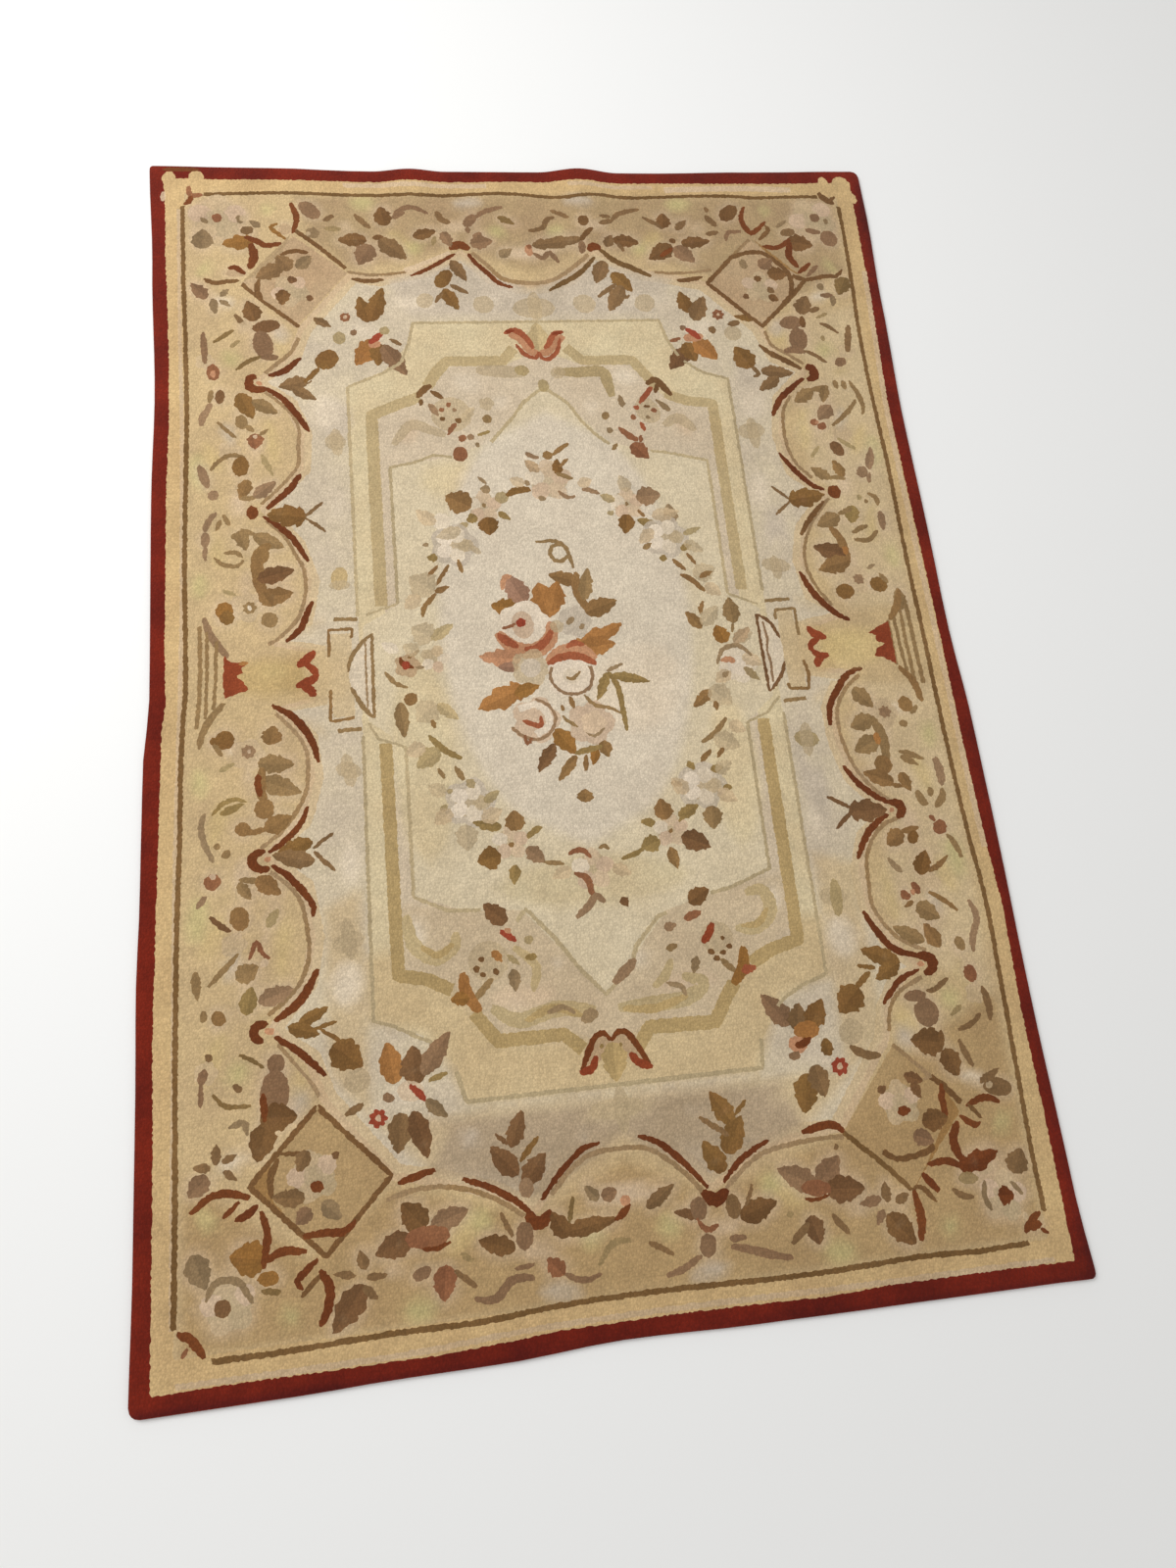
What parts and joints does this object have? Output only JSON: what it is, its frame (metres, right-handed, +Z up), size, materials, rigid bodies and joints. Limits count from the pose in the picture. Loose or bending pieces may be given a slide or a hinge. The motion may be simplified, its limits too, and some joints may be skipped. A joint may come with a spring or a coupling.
{
  "type": "flat wool rug",
  "caption": "Rectangular flat wool rug with a turned-under edge, slightly waisted sides and two low ripples at one end; lies on a floor.",
  "frame": {"origin": "on the floor under the middle of the rug's outline", "axes": "+Z up off the floor, +Y along the rug's length towards its rippled end, +X across its width"},
  "size_m": [1.2266, 1.838, 0.0135],
  "materials": {
    "stitched_wool": "matte stitched wool in cream, gold and faded brown, with a wine red border"
  },
  "bodies": {
    "root": {"rug": "stitched_wool"}
  },
  "joints": []
}
